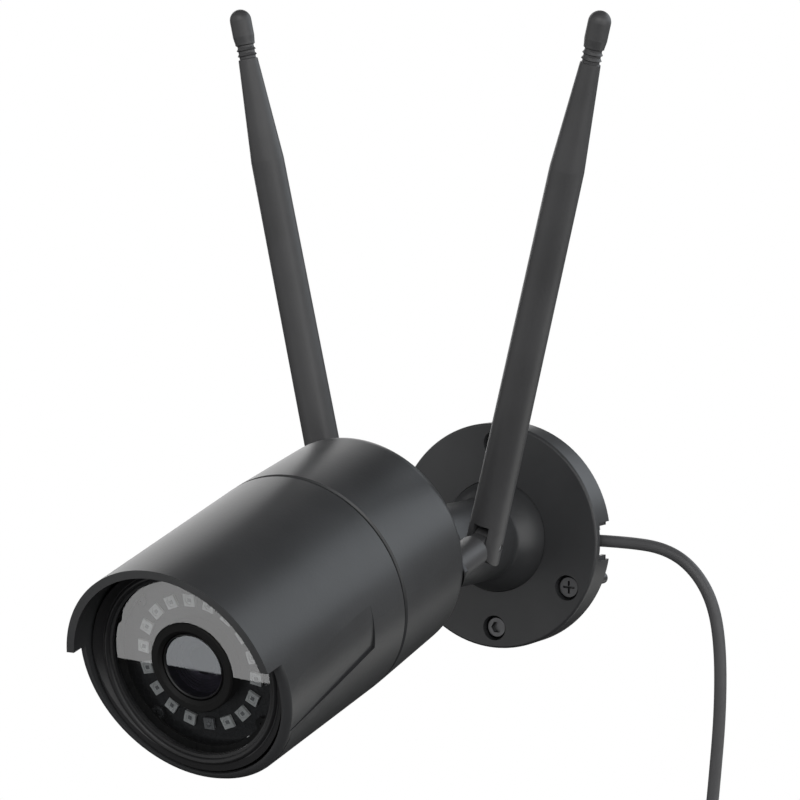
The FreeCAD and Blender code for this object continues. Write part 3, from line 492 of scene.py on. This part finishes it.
class Palette:
    """One material for each slot, made when it is first asked for."""

    def __init__(self) -> None:
        """Set out the finish of every slot."""
        axis = HEAD_FRAME.matrix()
        self.made: dict[Slot, bpy.types.Material] = {}
        self.finishes = {
            Slot.SHELL_PAINT: MouldedFinish("satin_shell_paint", (0.042, 0.043, 0.045), 0.36),
            Slot.TRIM_PLASTIC: MouldedFinish(
                "moulded_trim", (0.015, 0.015, 0.016), 0.36,
                grain_scale=1500.0, grain_depth=1.4e-5, specular=0.4,
            ),
            # The trim plastic made about four times lighter for the aerials: painted light, a lit
            # copy of the same plastic.
            Slot.AERIAL_LIT_TRIM: MouldedFinish(
                "aerial_plastic", (0.062, 0.062, 0.064), 0.42, grain_scale=1200.0
            ),
            Slot.WINDOW: GlassFinish("window_glass", 1.9, (0.86, 0.87, 0.88)),
            Slot.LENS_GLASS: GlassFinish(
                "coated_lens_glass", 1.9, (0.8, 0.78, 0.86), (0.92, 0.96, 1.0)
            ),
            Slot.FILTER_GLASS: GlassFinish(
                "filter_glass", 1.6, (0.75, 0.35, 0.35), (1.0, 0.7, 0.7)
            ),
            Slot.RUBBER: MouldedFinish(
                "soft_rubber", (0.007, 0.007, 0.007), 0.6,
                grain_scale=2200.0, grain_depth=2.5e-5, specular=0.25,
            ),
            Slot.CORD_JACKET: MouldedFinish(
                "cord_jacket", (0.085, 0.085, 0.088), 0.5,
                grain_scale=1800.0, grain_depth=2.5e-5, sheen=0.1,
            ),
            Slot.BOARD_BLACK: BoardFinish(
                "black_solder_mask", (0.006, 0.006, 0.007), (0.012, 0.012, 0.013), axis
            ),
            Slot.BOARD_GREEN: BoardFinish(
                "green_solder_mask", (0.012, 0.09, 0.035), (0.05, 0.2, 0.08), axis
            ),
            Slot.LED_BODY: EmitterFinish("emitter_resin", (0.62, 0.62, 0.6), 0.35, 0.0),
            Slot.SENSOR_BODY: EmitterFinish("sensor_resin", (0.2, 0.2, 0.2), 0.3, 0.0),
            Slot.STATUS_LENS: EmitterFinish("status_lens", (0.95, 0.95, 0.92), 0.3, 0.5),
            Slot.BLACK_METAL: TurnedFinish("black_anodised", (0.02, 0.02, 0.021), 0.38, axis),
            Slot.CHIP: MouldedFinish("chip_epoxy", (0.018, 0.018, 0.02), 0.55, 3000.0, 1.5e-5),
            Slot.CHASSIS_PLASTIC: MouldedFinish(
                "chassis_plastic", (0.05, 0.05, 0.052), 0.5, 1600.0, 3.0e-5
            ),
            Slot.SPREADER: MetalFinish(
                "heat_spreader", (0.72, 0.73, 0.74), 0.4, marks=(900.0, 40.0, 900.0)
            ),
            Slot.SHIELD_CAN: MetalFinish("tinned_shield", (0.78, 0.77, 0.74), 0.3),
            Slot.COPPER_COIL: WoundFinish("coil_wire", (0.75, 0.32, 0.14)),
            Slot.BRASS_PART: MetalFinish("turned_brass", (0.78, 0.58, 0.26), 0.3),
            Slot.NUT_BLACK: MetalFinish("blackened_nut", (0.06, 0.06, 0.062), 0.42),
            Slot.SCREW_STEEL: MetalFinish("screw_steel", (0.16, 0.16, 0.165), 0.38),
            Slot.STEEL: MetalFinish("zinc_steel", (0.5, 0.51, 0.53), 0.38),
        }

    def material(self, slot: Slot) -> bpy.types.Material:
        """Material of a slot."""
        if slot not in self.made:
            finish = self.finishes[slot]
            made = bpy.data.materials.new(finish.name)
            made.use_nodes = True
            finish.lay(NodeSheet(made.node_tree))
            self.made[slot] = made
        return self.made[slot]


# ---------------------------------------------------------------- sub-assemblies
class SubAssembly:
    """Pieces that belong together: CAD nodes to dress, and meshes of its own to build."""

    title = "sub-assembly"

    def __init__(self, palette: Palette) -> None:
        """Keep the palette that the pieces are dressed from."""
        self.palette = palette

    def nodes(self) -> dict[Slot, list[str]]:
        """CAD nodes by the slot that they are dressed in."""
        return {}

    def dress(self) -> None:
        """Give every CAD node of the sub-assembly its material."""
        for slot, names in self.nodes().items():
            material = self.palette.material(slot)
            for name in names:
                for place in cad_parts[name].material_slots:
                    place.material = material
                log.info("%s: %s in %s", self.title, name, material.name)

    def build(self) -> None:
        """Build the pieces that aren't in the CAD model."""

    def add(
        self, name: str, data: bpy.types.Mesh | bpy.types.Curve, slot: Slot, body: Body
    ) -> bpy.types.Object:
        """Put a new piece in the scene.

        Args:
            name: The piece's name.
            data: Its mesh or curve, in the row frame.
            slot: The slot of its finish.
            body: The body it rides on.

        Returns:
            The new object.
        """
        piece = bpy.data.objects.new(name, data)
        data.materials.append(self.palette.material(slot))
        bpy.context.scene.collection.objects.link(piece)
        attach(piece, body.value)
        log.info("%s: built %s", self.title, name)
        return piece


@dataclass
class CordRun(SubAssembly):
    """Power lead: down the wall from the base, with its unseen length in a tied coil.

    The route's points and the coil's sizes are in millimetres, and its angles in degrees.
    """

    palette: Palette
    title: str = "cord"
    radius: float = 1.9 * MM
    length: float = 0.69
    leaves_base: float = 36.0 * MM
    exit_level: float = 0.2 * MM
    run: tuple = (
        (29.0, -3.9, 0.0), (46.0, -3.9, 0.3), (58.0, -3.9, -1.4), (66.5, -3.9, -7.0),
        (72.5, -3.9, -16.5), (75.0, -3.9, -30.0), (75.2, -4.0, -50.0), (73.5, -4.1, -72.0),
        (71.2, -3.0, -92.0), (71.6, -2.4, -104.0),
    )
    tail: tuple = ((71.5, -6.2, -121.0), (69.4, -5.6, -130.0), (66.9, -5.4, -142.0))
    coil_centre: tuple = (49.5, -112.0)
    coil_start: float = -20.0
    coil_end: float = -1440.0
    coil_step: float = -22.5
    coil_lanes: tuple = ((22.9, -2.4), (19.1, -2.4), (19.1, -6.2), (22.9, -6.2))
    lane_change: float = 0.2
    corner_pull: float = 1.0196

    def nodes(self) -> dict[Slot, list[str]]:
        """The lead, its tie, its clip and its socket."""
        return {
            Slot.CORD_JACKET: ["coil_tie", "cord", "cord_coil", "cord_tail"],
            Slot.TRIM_PLASTIC: ["socket_body", "cord_clip"],
            Slot.BRASS_PART: ["socket_pin"],
        }

    def lane(self, turned: float) -> tuple[float, float]:
        """Radius and depth of the coil after some turns.

        Args:
            turned: Turns wound so far.

        Returns:
            The lane's radius and its y, in millimetres.
        """
        turn = min(int(turned), len(self.coil_lanes) - 1)
        ahead = min(turn + 1, len(self.coil_lanes) - 1)
        share = max(0.0, (turned - turn - 1 + self.lane_change) / self.lane_change)
        share = min(share, 1.0)
        blend = share * share * (3 - 2 * share)
        here, there = self.coil_lanes[turn], self.coil_lanes[ahead]
        return tuple(a + (b - a) * blend for a, b in zip(here, there))

    def coil(self) -> list[tuple]:
        """Control points of the coil's turns, in millimetres."""
        points = []
        steps = int((self.coil_end - self.coil_start) / self.coil_step)
        for step in range(steps + 1):
            angle = self.coil_start + step * self.coil_step
            radius, depth = self.lane((self.coil_start - angle) / 360)
            turn = math.radians(angle)
            reach = radius * self.corner_pull
            across = self.coil_centre[0] + reach * math.cos(turn)
            height = self.coil_centre[1] + reach * math.sin(turn)
            points.append((across, depth, height))
        return points

    def build(self) -> None:
        points = [*self.run, *self.coil(), *self.tail]
        curve = bpy.data.curves.new("power_lead", "CURVE")
        curve.dimensions = "3D"
        curve.bevel_depth = self.radius
        curve.bevel_resolution = 6
        curve.resolution_u = 8
        curve.use_fill_caps = True
        spline = curve.splines.new("NURBS")
        spline.points.add(len(points) - 1)
        for control, point in zip(spline.points, points):
            control.co = (*(value * MM for value in point), 1.0)
        spline.order_u = 3
        spline.use_endpoint_u = True
        lead = self.add("power_lead", curve, Slot.CORD_JACKET, Body.WALL_BASE)
        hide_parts("cord", "cord_coil", "cord_tail")


class Head(SubAssembly):
    """Shells, chassis, boards and their screws."""

    title = "head"

    def nodes(self) -> dict[Slot, list[str]]:
        """Both shells, and what they hold behind the optics."""
        return {
            Slot.SHELL_PAINT: ["front_shell", "rear_shell"],
            Slot.RUBBER: ["seam_seal"],
            Slot.CHASSIS_PLASTIC: ["chassis"],
            Slot.BOARD_GREEN: ["sensor_board", "main_board"],
            Slot.CHIP: ["image_sensor", "processor"],
            Slot.SPREADER: ["heat_spreader"],
            Slot.SHIELD_CAN: ["radio_module"],
            Slot.BRASS_PART: ["board_standoffs"],
            Slot.SCREW_STEEL: ["shell_screws"],
            Slot.BLACK_METAL: ["board_screws"],
        }


@dataclass
class Optics(SubAssembly):
    """Window, light ring and lens, with the emitters' dies and the lens's inner steps."""

    palette: Palette
    title: str = "optics"
    die_size: float = 1.0 * MM
    die_height: float = 0.18 * MM
    pad_offset: float = 0.3 * MM
    pad_size: float = 0.22 * MM
    pad_height: float = 0.054 * MM
    pad_level: float = 0.099 * MM
    recess_depth: float = 0.25 * MM
    emitter_reach: float = 17.4 * MM
    emitter_count: int = 18
    baffle_steps: int = 4
    baffle_tread: float = 0.75 * MM
    baffle_rise: float = 0.2 * MM
    baffle_edge: float = 8.3 * MM
    baffle_depth: float = 3.5 * MM
    baffle_sides: int = 64

    def nodes(self) -> dict[Slot, list[str]]:
        """The window's ring, and the nodes seen through the window."""
        return {
            Slot.TRIM_PLASTIC: ["bezel_ring", "lens_holder"],
            Slot.WINDOW: ["window_glass"],
            Slot.RUBBER: ["window_gasket", "lens_shade", "microphone"],
            Slot.BOARD_BLACK: ["led_board"],
            Slot.LED_BODY: ["infrared_leds"],
            Slot.SENSOR_BODY: ["light_sensor"],
            Slot.STATUS_LENS: ["status_led"],
            Slot.BLACK_METAL: ["lens_barrel"],
            Slot.LENS_GLASS: ["lens_elements"],
            Slot.CHASSIS_PLASTIC: ["filter_frame"],
            Slot.FILTER_GLASS: ["filter_panes"],
            Slot.COPPER_COIL: ["filter_coil"],
        }

    def build(self) -> None:
        """Build the dies and the baffle steps."""
        self.build_dies()
        self.build_baffles()

    def build_dies(self) -> None:
        """One square die with a bond pad in the recess of every emitter.

        The light sensor takes the ring's lowest place, so that place has no die.
        """
        top = HEAD_FRAME.limits("infrared_leds")[1].z - self.recess_depth
        die = Matrix.Diagonal((self.die_size, self.die_size, self.die_height, 1))
        corner = Matrix.Translation((self.pad_offset, self.pad_offset, self.pad_level))
        pad = corner @ Matrix.Diagonal((self.pad_size, self.pad_size, self.pad_height, 1))
        shape = bmesh.new()
        for index in range(1, self.emitter_count):
            turn = Matrix.Rotation(math.radians(270 + 360 * index / self.emitter_count), 4, "Z")
            seat = turn @ Matrix.Translation((self.emitter_reach, 0, top + self.die_height / 2))
            for block in (die, pad):
                bmesh.ops.create_cube(shape, size=1, matrix=seat @ block)
        shape.transform(HEAD_FRAME.matrix())
        self.add("led_dies", self.finished(shape, "led_dies"), Slot.SENSOR_BODY, Body.HEAD)

    def build_baffles(self) -> None:
        """Stepped black rings that narrow behind the front element."""
        front = HEAD_FRAME.limits("lens_barrel")[1].z
        profile = []
        for step in range(self.baffle_steps):
            radius = self.baffle_edge - step * self.baffle_tread
            level = front - self.baffle_depth - step * self.baffle_rise
            profile.append((radius, level))
            profile.append((radius - self.baffle_tread, level))
        shape = bmesh.new()
        for index in range(self.baffle_sides):
            turn = 2 * math.pi * index / self.baffle_sides
            for radius, level in profile:
                shape.verts.new((radius * math.cos(turn), radius * math.sin(turn), level))
        shape.verts.ensure_lookup_table()
        count = len(profile)
        for index in range(self.baffle_sides):
            here, ahead = index * count, (index + 1) % self.baffle_sides * count
            for place in range(count - 1):
                corners = (here + place, ahead + place, ahead + place + 1, here + place + 1)
                shape.faces.new([shape.verts[corner] for corner in corners])
        shape.transform(HEAD_FRAME.matrix())
        mesh = self.finished(shape, "lens_baffles")
        self.add("lens_baffles", mesh, Slot.BLACK_METAL, Body.HEAD)

    def finished(self, shape: bmesh.types.BMesh, name: str) -> bpy.types.Mesh:
        """Mesh of a shape that is done with."""
        mesh = bpy.data.meshes.new(name)
        bmesh.ops.recalc_face_normals(shape, faces=shape.faces)
        shape.to_mesh(mesh)
        shape.free()
        return mesh


class Arm(SubAssembly):
    """Arm, elbow and the cable inside."""

    title = "arm"

    def nodes(self) -> dict[Slot, list[str]]:
        """The nodes from the ball to the elbow."""
        return {
            Slot.SHELL_PAINT: ["arm", "elbow_bracket"],
            Slot.CORD_JACKET: ["arm_cable"],
            Slot.SCREW_STEEL: ["elbow_bolt"],
        }


class WallBase(SubAssembly):
    """Base cover, back plate and clamp."""

    title = "wall base"

    def nodes(self) -> dict[Slot, list[str]]:
        """The nodes on the wall and round the ball."""
        return {
            Slot.SHELL_PAINT: ["base_cover"],
            Slot.CHASSIS_PLASTIC: ["friction_dome"],
            Slot.RUBBER: ["wall_seal"],
            Slot.STEEL: ["back_plate", "plate_screws", "clamp_shoe"],
            Slot.SCREW_STEEL: ["wall_screws", "clamp_screw"],
        }


class Aerials(SubAssembly):
    """Two folding aerials on the rear shell."""

    title = "aerials"

    def nodes(self) -> dict[Slot, list[str]]:
        """Both aerials' nodes."""
        kinds = {
            # The collars and masts wear the lighter copy of the trim plastic, which is painted
            # light.
            Slot.AERIAL_LIT_TRIM: ["aerial_collar", "aerial_mast"],
            Slot.BRASS_PART: ["aerial_jack", "aerial_element"],
            Slot.NUT_BLACK: ["aerial_nut"],
            Slot.STEEL: ["aerial_pin"],
        }
        return {slot: [f"{kind}_{side}" for kind in names for side in ("left", "right")]
                for slot, names in kinds.items()}


# ---------------------------------------------------------------- studio
@dataclass(frozen=True)
class Softbox:
    """A plain rectangular light, placed by the direction that it is seen in."""

    name: str
    azimuth: float
    elevation: float
    distance: float
    width: float
    height: float
    radiance: float
    colour: tuple = (1.0, 1.0, 1.0)
    roll: float = 0.0
    aim: tuple = (0.0, -90.0 * MM, 20.0 * MM)

    def hang(self) -> None:
        """Hang the light so that it faces its aim."""
        lamp = bpy.data.lights.new(self.name, "AREA")
        lamp.shape = "RECTANGLE"
        lamp.size = self.width
        lamp.size_y = self.height
        lamp.energy = self.radiance * math.pi * self.width * self.height
        lamp.color = self.colour
        light = bpy.data.objects.new(self.name, lamp)
        towards = direction(self.azimuth, self.elevation)
        light.location = Vector(self.aim) + towards * self.distance
        light.rotation_mode = "QUATERNION"
        facing = towards.to_track_quat("Z", "Y")
        light.rotation_quaternion = facing @ Quaternion((0, 0, 1), math.radians(self.roll))
        light.visible_camera = False
        bpy.context.scene.collection.objects.link(light)


def direction(azimuth: float, elevation: float) -> Vector:
    """Unit vector towards a direction.

    Args:
        azimuth: Degrees from -Y towards +X.
        elevation: Degrees above the horizon.

    Returns:
        The vector.
    """
    turn, rise = math.radians(azimuth), math.radians(elevation)
    flat = math.cos(rise)
    return Vector((math.sin(turn) * flat, -math.cos(turn) * flat, math.sin(rise)))


@dataclass
class Studio:
    """Camera, soft lights, the room and a plain pale floor."""

    azimuth: float = 30.12
    elevation: float = 3.975
    distance: float = 0.6962
    look_at: tuple = (6.05 * MM, -80.0 * MM, 47.78 * MM)
    lens: float = 108.0
    sensor: float = 36.0
    room_floor: float = 0.03
    room_all_round: float = 0.08
    room_front: float = 0.75
    room_right: float = 0.25
    room_overhead_loss: float = 0.8
    floor_level: float = -0.35
    floor_size: float = 12.0
    boxes: tuple = (
        Softbox("right_back", 140.0, 28.0, 1.2, 1.4, 0.8, 1.35, (0.88, 0.94, 1.0)),
        Softbox("left_back", -138.0, 22.0, 1.3, 1.0, 1.1, 1.5),
        Softbox("right_low", 138.0, -34.0, 1.4, 1.3, 0.7, 1.0, (1.0, 1.0, 0.97)),
        Softbox("right_side", 80.0, 5.0, 1.5, 1.3, 1.3, 1.1),
        Softbox("front_high", 20.0, 28.0, 1.7, 1.3, 0.9, 1.7),
        Softbox(
            "window_panel", -40.0, -29.4, 1.0, 0.5, 0.16, 1.75,
            roll=-29.0, aim=(0.0, -176.7 * MM, -16.0 * MM),
        ),
    )

    def build(self) -> None:
        """Set up the whole studio."""
        self.place_camera()
        self.light_world()
        for box in self.boxes:
            box.hang()
            log.info("studio: %s", box.name)
        self.lay_floor()
        bpy.context.scene.view_settings.view_transform = "Standard"

    def place_camera(self) -> None:
        """Make the camera and hand it to the scene."""
        back = direction(self.azimuth, self.elevation)
        view = bpy.data.cameras.new("view")
        view.lens = self.lens
        view.sensor_width = self.sensor
        view.clip_start = 0.01
        view.clip_end = 50.0
        camera = bpy.data.objects.new("view", view)
        camera.location = Vector(self.look_at) + back * self.distance
        camera.rotation_mode = "QUATERNION"
        camera.rotation_quaternion = back.to_track_quat("Z", "Y")
        bpy.context.scene.collection.objects.link(camera)
        bpy.context.scene.camera = camera

    def light_world(self) -> None:
        """White behind the object, and a soft room, brighter in front, for everything else."""
        world = bpy.data.worlds.new("room")
        world.use_nodes = True
        bpy.context.scene.world = world
        sheet = NodeSheet(world.node_tree)
        spot = sheet.node("ShaderNodeTexCoord").outputs["Generated"]
        axes = sheet.node("ShaderNodeSeparateXYZ", {}, {0: spot})
        across, depth, height = (Value(sheet, axes.outputs[axis]) for axis in "XYZ")
        overhead = height.span(0.35, 0.85) * self.room_overhead_loss
        band = height.span(-0.45, -0.1) * (1.0 - overhead)
        front = (0.0 - depth).span(-0.3, 0.7) * self.room_front
        right = across.span(0.0, 0.9) * self.room_right
        strength = band * (front + right + self.room_all_round) + self.room_floor
        room = sheet.node("ShaderNodeBackground", {}, {"Strength": strength})
        paper = sheet.node("ShaderNodeBackground", {}, {"Color": (1, 1, 1, 1), "Strength": 1.0})
        seen = sheet.node("ShaderNodeLightPath").outputs["Is Camera Ray"]
        inputs = {0: seen, 1: room.outputs[0], 2: paper.outputs[0]}
        mixed = sheet.node("ShaderNodeMixShader", {}, inputs)
        sheet.node("ShaderNodeOutputWorld", {}, {"Surface": mixed.outputs[0]})

    def lay_floor(self) -> None:
        """Plain pale floor that only the camera sees."""
        mesh = bpy.data.meshes.new("floor")
        shape = bmesh.new()
        bmesh.ops.create_grid(shape, x_segments=8, y_segments=8, size=self.floor_size / 2)
        shape.to_mesh(mesh)
        shape.free()
        floor = bpy.data.objects.new("floor", mesh)
        floor.location = (0, 0, self.floor_level)
        material = bpy.data.materials.new("pale_floor")
        material.use_nodes = True
        sheet = NodeSheet(material.node_tree)
        glow = sheet.node("ShaderNodeEmission", {}, {"Color": (1, 1, 1, 1), "Strength": 1.0})
        clear = sheet.node("ShaderNodeBsdfTransparent")
        back = sheet.node("ShaderNodeNewGeometry").outputs["Backfacing"]
        inputs = {0: back, 1: glow.outputs[0], 2: clear.outputs[0]}
        sheet.surface(sheet.node("ShaderNodeMixShader", {}, inputs).outputs[0])
        mesh.materials.append(material)
        bpy.context.scene.collection.objects.link(floor)
        for kind in ("visible_diffuse", "visible_glossy", "visible_transmission", "visible_shadow"):
            setattr(floor, kind, False)


def main() -> None:
    """Build the studio, dress the CAD nodes and add the pieces that they lack."""
    logging.basicConfig(level=logging.INFO, format="%(message)s")
    Studio().build()
    palette = Palette()
    for kind in (CordRun, Head, Optics, Arm, WallBase, Aerials):
        part = kind(palette)
        part.dress()
        part.build()


if __name__ == "__main__":
    main()
